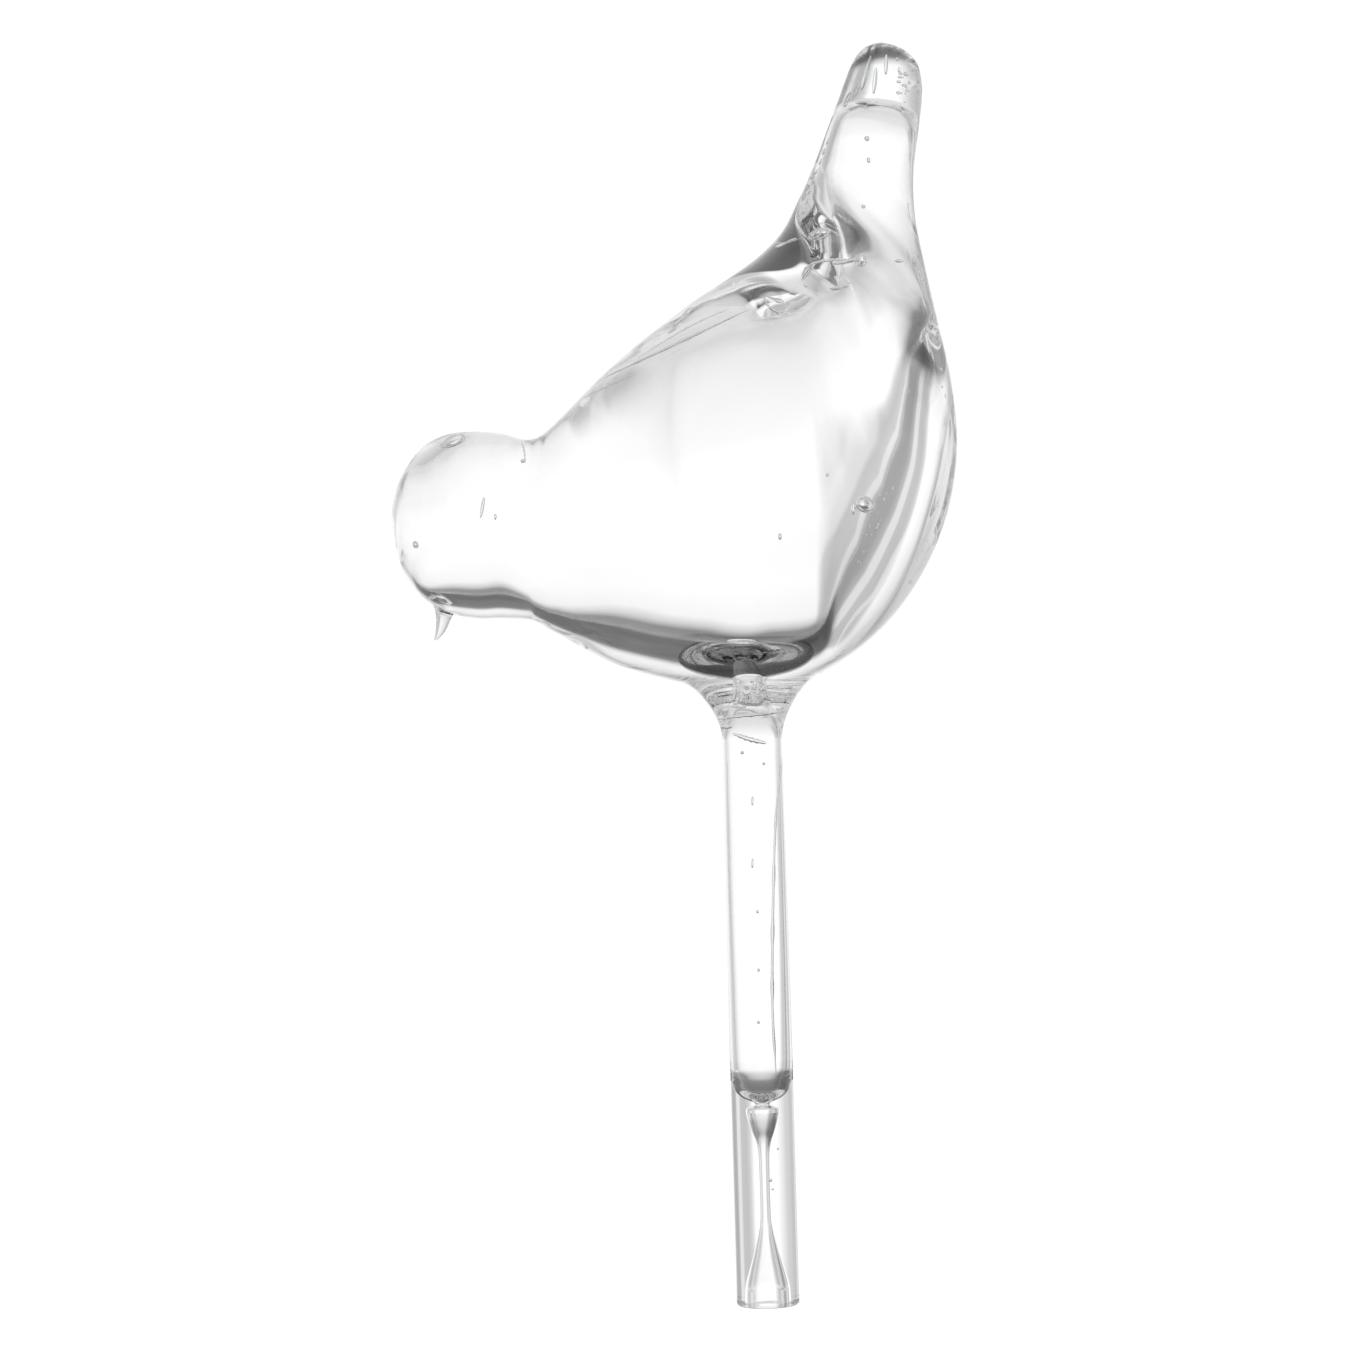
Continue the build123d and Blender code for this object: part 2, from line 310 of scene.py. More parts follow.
def ringPatch(form, made, centre, radius, inside):
    # from the opening's rim to a circle seen from below, (x - cx)^2 + y^2 = r^2, by Newton steps in (t,a)
    rim = rectRim(made["rect"])
    t0, a0 = made["t"][rim[:, 0], rim[:, 1]], made["a"][rim[:, 0], rim[:, 1]]
    start = made["points"][rim[:, 0], rim[:, 1]]
    bearing = np.arctan2(start[:, 1], start[:, 0] - centre)
    goal = np.stack([centre + radius * np.cos(bearing), radius * np.sin(bearing)], axis=-1)
    t1, a1 = t0.copy(), a0.copy()
    for step in range(newton["steps"]):
        p = formPoint(form, t1, a1)
        miss = p[:, :2] - goal
        dt = (formPoint(form, t1 + nudge, a1)[:, :2] - p[:, :2]) / nudge
        da = (formPoint(form, t1, a1 + nudge)[:, :2] - p[:, :2]) / nudge
        det = dt[:, 0] * da[:, 1] - dt[:, 1] * da[:, 0]
        t1 = t1 - newton["share"] * (miss[:, 0] * da[:, 1] - miss[:, 1] * da[:, 0]) / det
        a1 = a1 - newton["share"] * (dt[:, 0] * miss[:, 1] - dt[:, 1] * miss[:, 0]) / det
    s = np.linspace(0, 1, density["ringRows"])[:, None]
    t, a = t0 * (1 - s) + t1 * s, a0 * (1 - s) + a1 * s
    points = formPoint(form, t, a)
    out = np.zeros_like(points)
    out[..., 2] = 1 if inside else -1
    patch = patchOf(points, formNormals(form, t, a), out)
    return {"patch": patch, "rim": points[-1], "bearing": bearing}


def bendPatch(rim, firstPull, lastPull, end, out, rows):
    # P(s) = (1-s)^3 A + 3(1-s)^2 s B + 3(1-s) s^2 C + s^3 D for each point of the rim
    def curve(s):
        # P(s), as above
        start = (1 - s) ** 3 * rim + 3 * (1 - s) ** 2 * s * firstPull
        return start + 3 * (1 - s) * s**2 * lastPull + s**3 * end
    s = np.linspace(0, 1, rows)[:, None, None]
    points = curve(s)
    along = curve(s + nudge) - curve(s - nudge)
    across = np.roll(points, -1, axis=1) - np.roll(points, 1, axis=1)
    return patchOf(points, unitOf(np.cross(along, across)), np.broadcast_to(out, points.shape))


def circleAt(bearing, radius, z):
    # (r cos b, r sin b, z) about the stem's axis
    return np.stack([radius * np.cos(bearing), radius * np.sin(bearing), 0 * bearing + z], axis=-1)


def middleOf(ring):
    # every point of the ring moved to their mean
    return np.zeros_like(ring) + ring.mean(axis=0)


def turnedPatch(profile, inside, step=0.4):
    # (r(s), z(s)) carried round the stem's axis, the profile a cubic through its points
    marks, curve = pathThrough(np.array(profile, float))
    rows = max(int(marks[-1] / step) + 2, len(profile) * 2)
    s = np.unique(np.concatenate([np.linspace(0, marks[-1], rows), marks]))

    def surface(u, v):
        # (r(u) cos v, r(u) sin v, z(u))
        rz = curve(u)
        return np.stack([rz[..., 0] * np.cos(v), rz[..., 0] * np.sin(v), rz[..., 1]], axis=-1)

    u, v = np.meshgrid(s, turnsOf(density["stemColumns"]), indexing="ij")
    dr, dz = (curve(s + pathNudge) - curve(s - pathNudge)).T[..., None]
    out = np.stack([dz * np.cos(v), dz * np.sin(v), -dr + 0 * v], axis=-1)
    return patchOf(surface(u, v), normalsOf(surface, u, v), -out if inside else out)


def bubblePatch(centre, radii, lean):
    # ellipsoid c + R(lean about y) (a sin p cos q, b sin p sin q, c cos p), its normals facing the air inside
    rows, columns = density["bubble"]
    p, q = np.meshgrid(np.linspace(0, np.pi, rows), turnsOf(columns), indexing="ij")
    unit = np.stack([np.sin(p) * np.cos(q), np.sin(p) * np.sin(q), np.cos(p)], axis=-1)
    turnBack = np.array(Matrix.Rotation(math.radians(lean), 3, "Y"))
    points = (unit * np.array(radii)) @ turnBack.T + np.array(centre)
    n = unitOf((unit / np.array(radii)) @ turnBack.T)
    return patchOf(points, n, -n)


def makePiece(name, patches, node, looks):
    # one mesh from the patches, equal points made one; visible glass is first, so its normals win at a seam
    patches = sorted(patches, key=lambda one: not one["glass"])
    points = np.concatenate([one["points"] for one in patches])
    normals = np.concatenate([one["normals"] for one in patches])
    counts = np.cumsum([0] + [len(one["points"]) for one in patches])
    faces = np.concatenate([one["faces"] + start for one, start in zip(patches, counts)])
    lookOf = lambda one: 0 if one["glass"] else one.get("slot", 1)
    slots = np.concatenate([np.full(len(one["faces"]), lookOf(one)) for one in patches])
    keys = np.round(points / weldStep).astype(np.int64)
    firstSeen, place = np.unique(keys, axis=0, return_index=True, return_inverse=True)[1:]
    faces = place.reshape(-1)[faces]
    points, normals = points[firstSeen], normals[firstSeen]
    # a quad with two equal corners in a row becomes a triangle, and one with more is left out
    same = [faces[:, k] == faces[:, (k + 1) % 4] for k in range(4)]
    doubles = sum(one.astype(int) for one in same)
    quads, single = faces[doubles == 0], doubles == 1
    which = np.argmax(np.stack(same, axis=-1)[single], axis=-1)
    order = (which[:, None] + np.array([1, 2, 3])) % 4
    threes = np.take_along_axis(faces[single], order, axis=1)
    used = np.unique(np.concatenate([quads.reshape(-1), threes.reshape(-1)]))
    lookup = np.full(len(points), -1)
    lookup[used] = np.arange(len(used))
    faceSlots = np.concatenate([slots[doubles == 0], slots[single]]).astype(np.int32)
    mesh = bpy.data.meshes.new(name)
    mesh.from_pydata((points[used] * mm).tolist(), [], lookup[quads].tolist() + lookup[threes].tolist())
    mesh.polygons.foreach_set("material_index", faceSlots)
    mesh.polygons.foreach_set("use_smooth", np.ones(len(mesh.polygons), bool))
    for look in looks:
        mesh.materials.append(look)
    mesh.validate()
    mesh.normals_split_custom_set_from_vertices(normals[used].tolist())
    piece = bpy.data.objects.new(name, mesh)
    bpy.context.scene.collection.objects.link(piece)
    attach(piece, "root")
    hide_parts(node)
    edges = np.zeros(len(mesh.edges), int)
    loops = np.zeros(len(mesh.loops), int)
    mesh.loops.foreach_get("edge_index", loops)
    np.add.at(edges, loops, 1)
    alone, crowded = (edges == 1).sum(), (edges > 2).sum()
    print(f"{name}: {len(mesh.polygons)} faces, open edges {alone}, shared by more {crowded}")


# Looks of the glass: its tint, and for its unevenness the waves to the metre, how far they are drawn out
# upwards, and their depth as a share of waveDepth.
glassLooks = {
    "birdGlass": {"tint": (1.0, 1.0, 1.0, 1.0), "scale": 150.0, "drawn": 1.3, "depth": 0.25},
    "stemGlass": {"tint": (0.985, 0.987, 0.987, 1.0), "scale": 420.0, "drawn": 9.0, "depth": 0.1},
    "tipGlass": {"tint": (0.95, 0.955, 0.955, 1.0), "scale": 420.0, "drawn": 2.6, "depth": 0.9},
    "beadGlass": {"tint": (0.98, 0.985, 0.985, 1.0), "scale": 500.0, "drawn": 1.5, "depth": 0.25},
}
glassIor = 1.48
waveDepth = 0.00006


def unevenGroup():
    # slow swells and fine streaks of hand-worked glass, from object coordinates, as a normal
    group = bpy.data.node_groups.new("unevenGlass", "ShaderNodeTree")
    for name, low in (("Scale", 1.0), ("Drawn", 1.0), ("Depth", 0.0)):
        socket = group.interface.new_socket(name, in_out="INPUT", socket_type="NodeSocketFloat")
        socket.min_value = low
    group.interface.new_socket("Normal", in_out="OUTPUT", socket_type="NodeSocketVector")
    nodes, links = group.nodes, group.links
    given, made = nodes.new("NodeGroupInput"), nodes.new("NodeGroupOutput")
    parts, joined = nodes.new("ShaderNodeSeparateXYZ"), nodes.new("ShaderNodeCombineXYZ")
    shrink = nodes.new("ShaderNodeMath")
    shrink.operation = "DIVIDE"
    links.new(nodes.new("ShaderNodeTexCoord").outputs["Object"], parts.inputs[0])
    links.new(parts.outputs["X"], joined.inputs["X"])
    links.new(parts.outputs["Y"], joined.inputs["Y"])
    links.new(parts.outputs["Z"], shrink.inputs[0])
    links.new(given.outputs["Drawn"], shrink.inputs[1])
    links.new(shrink.outputs[0], joined.inputs["Z"])
    noise = nodes.new("ShaderNodeTexNoise")
    noise.inputs["Detail"].default_value = 1.5
    links.new(joined.outputs[0], noise.inputs["Vector"])
    links.new(given.outputs["Scale"], noise.inputs["Scale"])
    bump = nodes.new("ShaderNodeBump")
    bump.inputs["Distance"].default_value = waveDepth
    links.new(given.outputs["Depth"], bump.inputs["Strength"])
    links.new(noise.outputs["Fac"], bump.inputs["Height"])
    links.new(bump.outputs["Normal"], made.inputs["Normal"])
    return group


unevenGlass = unevenGroup()


def clearGlass(name):
    # plain clear glass with the shared unevenness on its normal, by the settings of that name
    look = bpy.data.materials.new(name)
    look.use_nodes = True
    settings = glassLooks[name]
    nodes = look.node_tree.nodes
    shader = nodes["Principled BSDF"]
    shader.inputs["Base Color"].default_value = settings["tint"]
    shader.inputs["Roughness"].default_value = 0.0
    shader.inputs["IOR"].default_value = glassIor
    shader.inputs["Transmission Weight"].default_value = 1.0
    uneven = nodes.new("ShaderNodeGroup")
    uneven.node_tree = unevenGlass
    uneven.inputs["Scale"].default_value = settings["scale"]
    uneven.inputs["Drawn"].default_value = settings["drawn"]
    uneven.inputs["Depth"].default_value = settings["depth"]
    look.node_tree.links.new(uneven.outputs["Normal"], shader.inputs["Normal"])
    return look


def fusedSeam(name, shade):
    # glass runs on through a seam, so light is let through unbent; where shade is under 1, rays that meet the
    # face from behind are dimmed by it, a painted shade
    look = bpy.data.materials.new(name)
    look.use_nodes = True
    nodes = look.node_tree.nodes
    nodes.clear()
    links = look.node_tree.links
    clear = nodes.new("ShaderNodeBsdfTransparent")
    end = nodes.new("ShaderNodeOutputMaterial")
    if shade < 1:
        sides = nodes.new("ShaderNodeMix")
        sides.data_type = "RGBA"
        sides.inputs["A"].default_value = (1, 1, 1, 1)
        sides.inputs["B"].default_value = (shade, shade, shade, 1)
        links.new(nodes.new("ShaderNodeNewGeometry").outputs["Backfacing"], sides.inputs["Factor"])
        links.new(sides.outputs["Result"], clear.inputs["Color"])
    links.new(clear.outputs["BSDF"], end.inputs["Surface"])
    return look


birdGlass = clearGlass("birdGlass")
stemGlass = clearGlass("stemGlass")
tipGlass = clearGlass("tipGlass")
beadGlass = clearGlass("beadGlass")
seamLook = fusedSeam("fusedSeam", 1.0)
# painted shade: rays that come down through the belly's side of the lap seam keep only this share of their
# light, darkening the belly above the collar
lapPaintedShade = 0.5
lapPaintedShadeLook = fusedSeam("lapSeam", lapPaintedShade)
print("looks: glass and seams made")

readyForm(birdSkin)
readyForm(birdHollow)
columnAngles = turnsOf(density["columns"])
skinNeck = birdSkin["marks"][birdSkin["neckRow"]]
hollowNeck = birdHollow["marks"][birdHollow["neckRow"]]
skinRoot = placeAtHeight(birdSkin, seams["tailRootZ"], birdSkin["rootRows"], columnAngles)
skinSeal = placeAtHeight(birdSkin, seams["tailSealZ"], birdSkin["sealRows"], columnAngles)
hollowRoot = placeAtHeight(birdHollow, seams["tailRootZ"], birdHollow["rootRows"], columnAngles)

# The photo's pixel at the stem's foot, its pixels to the millimetre, and the cosine and sine of its roll.
photo = {"column": 768.2, "row": 1305, "scale": 6, "cosine": 0.9996, "sine": 0.0283}
# Bubbles and seeds as (pixel column, row, half width, half height, lean in degrees, depth under the skin).
bubbles = {
    "head": [
        (455, 445, 2.3, 1.3, -30, 0.9), (421, 546, 0.62, 0.62, 0, 1.2), (486, 511, 0.3, 1.7, 12, 1.2),
        (499, 520, 0.25, 0.5, 0, 1.0), (399, 545, 0.3, 0.7, 0, 0.9),
    ],
    "body": [
        (857, 509, 1.9, 1.3, 20, 2.2), (846, 513, 0.5, 1.1, 0, 2.0), (820, 482, 0.3, 0.3, 0, 2),
        (775, 541, 0.3, 0.55, 0, 2), (685, 325, 1.0, 2.6, 32, 2.4), (676, 338, 0.5, 1.2, 60, 2.4),
        (856, 271, 1.0, 1.2, 10, 2.2), (843, 272, 2.3, 0.4, -12, 1.8), (806, 283, 0.35, 1.9, 35, 1.6),
        (836, 299, 1.6, 0.35, -15, 2), (893, 269, 1.0, 0.3, -10, 1.6), (818, 244, 1.9, 1.1, -8, 2.2),
        (787, 250, 2.2, 0.4, -6, 1.8), (525, 466, 0.4, 0.45, 0, 1.4), (640, 352, 0.25, 0.25, 0, 1.5),
    ],
    "tail": [
        (865, 145, 0.4, 0.45, 0, 1.2), (866, 167, 0.3, 0.5, 0, 1.2), (860, 215, 0.35, 0.35, 0, 1.2),
        (905, 215, 0.25, 1.5, 0, 1.0), (862, 240, 0.3, 0.3, 0, 1.2),
    ],
    "tip": [
        (868, 78, 0.35, 3.0, 14, 3.0), (876, 86, 0.3, 2.2, 8, 4.5), (858, 96, 0.4, 1.8, 20, 2.4),
        (885, 70, 0.25, 1.6, 4, 3.6), (850, 104, 0.5, 1.4, 24, 2.0),
    ],
    "collar": [
        (786, 700, 0.5, 0.5, 0, 2.0), (780, 706, 0.35, 0.3, 0, 1.6), (792, 696, 0.3, 0.4, 0, 2.2),
        (738, 705, 1.4, 0.28, 0, 1.8), (727, 726, 1.2, 0.4, -4, 1.2),
    ],
    "tube": [
        (742, 752, 0.3, 0.3, 0, 0.35), (763, 763, 0.25, 0.25, 0, 0.35), (752, 800, 0.2, 0.8, 4, 0.35),
        (752, 862, 0.2, 0.8, 4, 0.35), (757, 910, 0.22, 0.3, 0, 0.35), (758, 968, 0.22, 0.3, 0, 0.35),
        (758, 1020, 0.25, 0.25, 0, 0.35),
    ],
    "drip": [
        (769, 1178, 0.3, 0.3, 0, 3.0), (775, 1147, 0.2, 0.2, 0, 3.0), (771, 1187, 0.2, 0.2, 0, 3.0),
        (779, 1286, 0.25, 0.25, 0, 3.0),
    ],
}
# Air lines as (radius, depth under the skin, pixels along the line).
threads = {
    "head": [
        (0.16, 1.0, [(522, 443), (526, 455), (528, 468)]),
        (0.14, 1.0, [(438, 462), (452, 447), (470, 433)]),
    ],
    "body": [
        (0.3, 3.0, [(590, 393), (640, 372), (700, 345), (750, 322)]),
        (0.18, 2.4, [(575, 408), (600, 398), (640, 383)]),
        (0.3, 2.0, [(800, 288), (805, 279), (816, 273), (843, 270)]),
        (0.24, 1.8, [(824, 300), (836, 299), (846, 293)]), (0.2, 2.0, [(770, 246), (786, 250), (804, 247)]),
        (0.14, 2.4, [(640, 365), (690, 338), (730, 321)]),
    ],
    "tube": [
        (0.3, 0.4, [(782, 757), (776, 800), (772.5, 880), (771.5, 1000), (775, 1072)]),
        (0.12, 0.36, [(727.5, 760), (729, 860), (731, 960)]),
    ],
    "collar": [
        (0.3, 1.0, [(719, 718), (740, 715), (784, 709)]), (0.42, 1.2, [(734, 733), (750, 739), (766, 743)]),
        (0.2, 0.8, [(714, 700), (719, 708), (724, 716)]),
    ],
}
threadShape = {"sides": 10, "step": 0.4, "spareRows": 12, "blunt": 0.4, "waver": ((0.18, 37), (0.1, 71))}
# Seeds scattered in the tip and along the rump's rim, and a row of sparks down the tail's left side.
seedField = {"count": 60, "sizes": (0.16, 0.45), "tipEnd": 30, "upperEnd": 42}
tipSeeds = {"left": 893, "wide": 24, "top": 60, "tall": 46, "inset": 3.2, "more": 2}
rimSeeds = {"gap": 7, "wide": 12, "inset": 1.8, "upper": (340, 75), "lower": (500, 95)}
tailSparks = {
    "count": 9, "span": (0.05, 0.95), "start": (829, 140), "way": (-31, 92), "thin": 0.2, "swell": 0.25,
    "rate": 9, "tall": 0.6, "lean": 22, "inset": 0.9,
}
scatter = np.random.default_rng(11)
seedSizes = scatter.uniform(*seedField["sizes"], (seedField["count"], 2))
seedSpots = scatter.uniform(0, 1, (seedField["count"], 2))
# the rump's rim in the photo, as (pixel row, column)
rimRows = np.array([
    (340, 941), (370, 949), (400, 955), (430, 957), (490, 955), (520, 946), (550, 935), (580, 919),
    (610, 900),
])
seeds = [(s, t, a, b) for (s, t), (a, b) in zip(seedSpots, seedSizes)]


def seedsAtRim(chosen, top, tall):
    # u = rim(v) - gap - wide s and v = top + tall t for each seed's random s and t
    rows = [(s, top + tall * t, a, b) for s, t, a, b in chosen]
    rimAt = lambda v: np.interp(v, rimRows[:, 0], rimRows[:, 1])
    gap, wide = rimSeeds["gap"], rimSeeds["wide"]
    return [(rimAt(v) - gap - wide * s, v, a, b, 0, rimSeeds["inset"]) for s, v, a, b in rows]


tipEnd, upperEnd = seedField["tipEnd"], seedField["upperEnd"]
for s, t, a, b in seeds[:tipEnd]:
    u, v = tipSeeds["left"] + tipSeeds["wide"] * s, tipSeeds["top"] + tipSeeds["tall"] * t
    bubbles["tip"].append((u, v, a, b, 0, tipSeeds["inset"] + tipSeeds["more"] * s))
bubbles["body"] += seedsAtRim(seeds[tipEnd:upperEnd], *rimSeeds["upper"])
bubbles["body"] += seedsAtRim(seeds[upperEnd:], *rimSeeds["lower"])
for t in np.linspace(*tailSparks["span"], tailSparks["count"]):
    u, v = (start + way * t for start, way in zip(tailSparks["start"], tailSparks["way"]))
    wide = tailSparks["thin"] + tailSparks["swell"] * abs(math.sin(tailSparks["rate"] * t))
    bubbles["tail"].append((u, v, wide, tailSparks["tall"], tailSparks["lean"], tailSparks["inset"]))


def behindSkin(skin, pixels, inset):
    # (x, z) of each pixel, with y a little behind the front of the skin at its nearest point in the picture
    across = (pixels[:, 0] - photo["column"]) / photo["scale"]
    rise = (photo["row"] - pixels[:, 1]) / photo["scale"]
    x = across * photo["cosine"] + rise * photo["sine"]
    z = rise * photo["cosine"] - across * photo["sine"]
    front = skin.reshape(-1, 3)
    front = front[front[:, 1] < 0.5]
    near = np.argmin((front[:, 0] - x[:, None]) ** 2 + (front[:, 2] - z[:, None]) ** 2, axis=1)
    return np.stack([x, front[near, 1] + inset, z], axis=-1)


def threadPatch(radius, path):
    # a thin air line: rings of radius r sin(pi s)^blunt, wavering a little, carried along the path
    marks, curve = pathThrough(path)
    s = np.linspace(0, 1, int(marks[-1] / threadShape["step"]) + threadShape["spareRows"])
    at = s * marks[-1]
    ahead = unitOf(curve(at + pathNudge) - curve(at - pathNudge))
    side = unitOf(np.cross(ahead, np.array((0.0, 1.0, 0.0))))
    over = np.cross(ahead, side)
    q = turnsOf(threadShape["sides"])
    ring = np.cos(q)[None, :, None] * side[:, None] + np.sin(q)[None, :, None] * over[:, None]
    waver = 1 + sum(share * np.sin(rate * s) for share, rate in threadShape["waver"])
    swell = radius * np.sin(np.pi * s) ** threadShape["blunt"] * waver
    swell[[0, -1]] = 0
    return patchOf(curve(at)[:, None] + ring * swell[:, None, None], ring, -ring)


def airIn(kind, skin):
    # the closed bubbles and air lines of one piece, each a little way behind its skin
    rows = np.array(bubbles[kind], float)
    made = []
    for centre, (wide, tall, lean) in zip(behindSkin(skin, rows[:, :2], rows[:, 5]), rows[:, 2:5]):
        made.append(bubblePatch(centre, (wide, min(wide, tall), tall), lean))
    for radius, inset, pixels in threads.get(kind, []):
        made.append(threadPatch(radius, behindSkin(skin, np.array(pixels, float), inset)))
    return made


# head
beak = {
    "hole": (-53.4, -48.6, 0.2), "middle": -50.9, "rootRadius": 1.75, "rootPull": (0.75, 1.0),
    "waistRadius": 1.0, "waistRise": 1.6, "waistShift": -0.1, "tip": (-52.3, 112.3), "tipRadius": 0.28,
    "rows": 20,
}
headOut = formPatch(birdSkin, 0.0, skinNeck, False, holeUnder(*beak["hole"]))
headIn = formPatch(birdHollow, 0.0, hollowNeck, True)
beakRing = ringPatch(birdSkin, headOut, beak["middle"], beak["rootRadius"], False)
beakRim, beakBearing = beakRing["rim"], beakRing["bearing"]


def beakSeam(out):
    # the disc where the beak is fused on, ruled from its rim to its middle
    return stripBetween(beakRim, middleOf(beakRim), out)


makePiece("headShell", [
    headOut["patch"],
    headIn["patch"],
    beakRing["patch"],
    stripBetween(headOut["points"][-1], headIn["points"][-1], (1, 0, 0)),
    beakSeam((0, 0, -1)),
] + airIn("head", headOut["points"]), "head_bulb", [birdGlass, seamLook])

# beak
tipX, tipZ = beak["tip"]
beakEnd = circleAt(beakBearing, beak["tipRadius"], tipZ) + np.array((tipX, 0, 0))
beakWaist = circleAt(beakBearing, beak["waistRadius"], tipZ + beak["waistRise"])
beakWaist = beakWaist + np.array((beak["middle"] + beak["waistShift"], 0, 0))
beakFirst = beakRim - circleAt(beakBearing, *beak["rootPull"])
makePiece("beakNib", [
    bendPatch(beakRim, beakFirst, beakWaist, beakEnd, circleAt(beakBearing, 1.0, -0.3), beak["rows"]),
    stripBetween(beakEnd, middleOf(beakEnd), (0, 0, -1), glass=True),
    beakSeam((0, 0, 1)),
], "beak", [beadGlass, seamLook])

# body
collar = {
    "lapHole": (-14.5, 14.5, 0.5), "drainHole": (-5.0, 5.0, 0.2), "lapPull": (2.6, -0.9), "stemRadius": 5.0,
    "stemPull": 4.2, "footRadius": 4.3, "boreRadius": 2.0, "mouthRadius": 2.6, "mouthPull": 0.3,
    "throatZ": 109.4, "throatPull": 1.0, "footZ": 94.2, "narrowZ": 104.5, "throatRows": 16, "rows": 22,
}
bodyOut = formPatch(birdSkin, skinNeck, skinRoot, False, holeUnder(*collar["lapHole"]))
bodyIn = formPatch(birdHollow, hollowNeck, hollowRoot, True, holeUnder(*collar["drainHole"]))
lapRing = ringPatch(birdSkin, bodyOut, 0.0, seams["collarLap"], False)
drainRing = ringPatch(birdHollow, bodyIn, 0.0, collar["mouthRadius"], True)
lapRim, lapBearing = lapRing["rim"], lapRing["bearing"]
drainRim, drainBearing = drainRing["rim"], drainRing["bearing"]


def throatPatch():
    # the hollow's floor rolls over into the stem's bore, by the curve of bendPatch
    end = circleAt(drainBearing, collar["boreRadius"], collar["throatZ"])
    first = drainRim - circleAt(drainBearing, collar["mouthPull"], 0.0)
    last = circleAt(drainBearing, collar["boreRadius"], collar["throatZ"] + collar["throatPull"])
    toAxis = -circleAt(drainBearing, 1.0, 0.0) + np.array((0, 0, 0.6))
    return bendPatch(drainRim, first, last, end, toAxis, collar["throatRows"])


def boreAt(z):
    # r = r0 + (r1 - r0) (3u2 - 2u3), u running from the collar's foot to the narrow drain
    u = np.clip((z - collar["footZ"]) / (collar["narrowZ"] - collar["footZ"]), 0, 1)
    return collar["footRadius"] + (collar["boreRadius"] - collar["footRadius"]) * u * u * (3 - 2 * u)


def borePatch(low, high):
    # (r(z) cos b, r(z) sin b, z) down the bore, on the bearings of the drain's rim
    rows = density["boreRows"]
    s = np.linspace(high, low, rows)[:, None]
    v = np.broadcast_to(drainBearing, (rows, len(drainBearing)))
    points = np.stack([boreAt(s) * np.cos(v), boreAt(s) * np.sin(v), s + 0 * v], axis=-1)
    toAxis = -np.stack([np.cos(v), np.sin(v), 0 * v], axis=-1)
    return patchOf(points, toAxis, toAxis)


def zippedRings(first, second, out):
    # triangles between two rings about one axis, made in the order that their points come up in bearing
    middle = second.mean(axis=0)
    around = lambda ring: np.arctan2(ring[:, 1] - middle[1], ring[:, 0] - middle[0])
    first, second = first[np.argsort(around(first))], second[np.argsort(around(second))]
    m, n = len(first), len(second)
    behind = (np.searchsorted(around(second), around(first)) - 1) % n
    ahead = (np.searchsorted(around(first), around(second), side="right") - 1) % m
    i, j = np.arange(m), np.arange(n)
    outer = np.stack([(i - 1) % m, i, m + behind], axis=-1)
    inner = np.stack([ahead, m + j, m + (j - 1) % n], axis=-1)
    faces = np.concatenate([outer, inner])
    points = np.concatenate([first, second])
    normals = np.broadcast_to(np.array(out, float), points.shape).copy()
    p = points[faces]
    turned = np.sum(np.cross(p[:, 1] - p[:, 0], p[:, 2] - p[:, 0]) * normals[0], axis=-1) < 0
    faces[turned] = faces[turned][:, ::-1]
    return {"points": points, "normals": normals, "faces": np.hstack([faces, faces[:, :1]]), "glass": False}


def lapSeam(out):
    # the face between belly and collar, from the collar's rim in to the bore
    bore = circleAt(drainBearing, boreAt(seams["bellyZ"]), seams["bellyZ"])
    return zippedRings(lapRim, bore, out)


makePiece("bodyShell", [
    bodyOut["patch"],
    bodyIn["patch"],
    lapRing["patch"],
    drainRing["patch"],
    throatPatch(),
    borePatch(seams["bellyZ"], collar["throatZ"]),
    stripBetween(bodyOut["points"][0], bodyIn["points"][0], (-1, 0, 0)),
    stripBetween(bodyOut["points"][-1], bodyIn["points"][-1], (0, 0, 1)),
    dict(lapSeam((0, 0, -1)), slot=2),  # the look with painted shade, darkening the belly above the collar
] + airIn("body", bodyOut["points"]), "body_bulb", [birdGlass, seamLook, lapPaintedShadeLook])

# collar
collarZ = collar["footZ"]
lapPull, lapDrop = collar["lapPull"]
collarFoot = circleAt(lapBearing, collar["stemRadius"], collarZ)
collarFirst = lapRim + (-circleAt(lapBearing, lapPull, 0.0) + np.array((0, 0, lapDrop)))
collarLast = circleAt(lapBearing, collar["stemRadius"], collarZ + collar["stemPull"])
collarSkin = bendPatch(
    lapRim, collarFirst, collarLast, collarFoot, circleAt(lapBearing, 1.0, -0.7), collar["rows"])
makePiece("collarRing", [
    collarSkin,
    borePatch(collarZ, seams["bellyZ"]),
    lapSeam((0, 0, 1)),
    zippedRings(collarFoot, circleAt(drainBearing, collar["footRadius"], collarZ), (0, 0, -1)),
] + airIn("collar", collarSkin["points"]), "stem_collar", [birdGlass, seamLook])

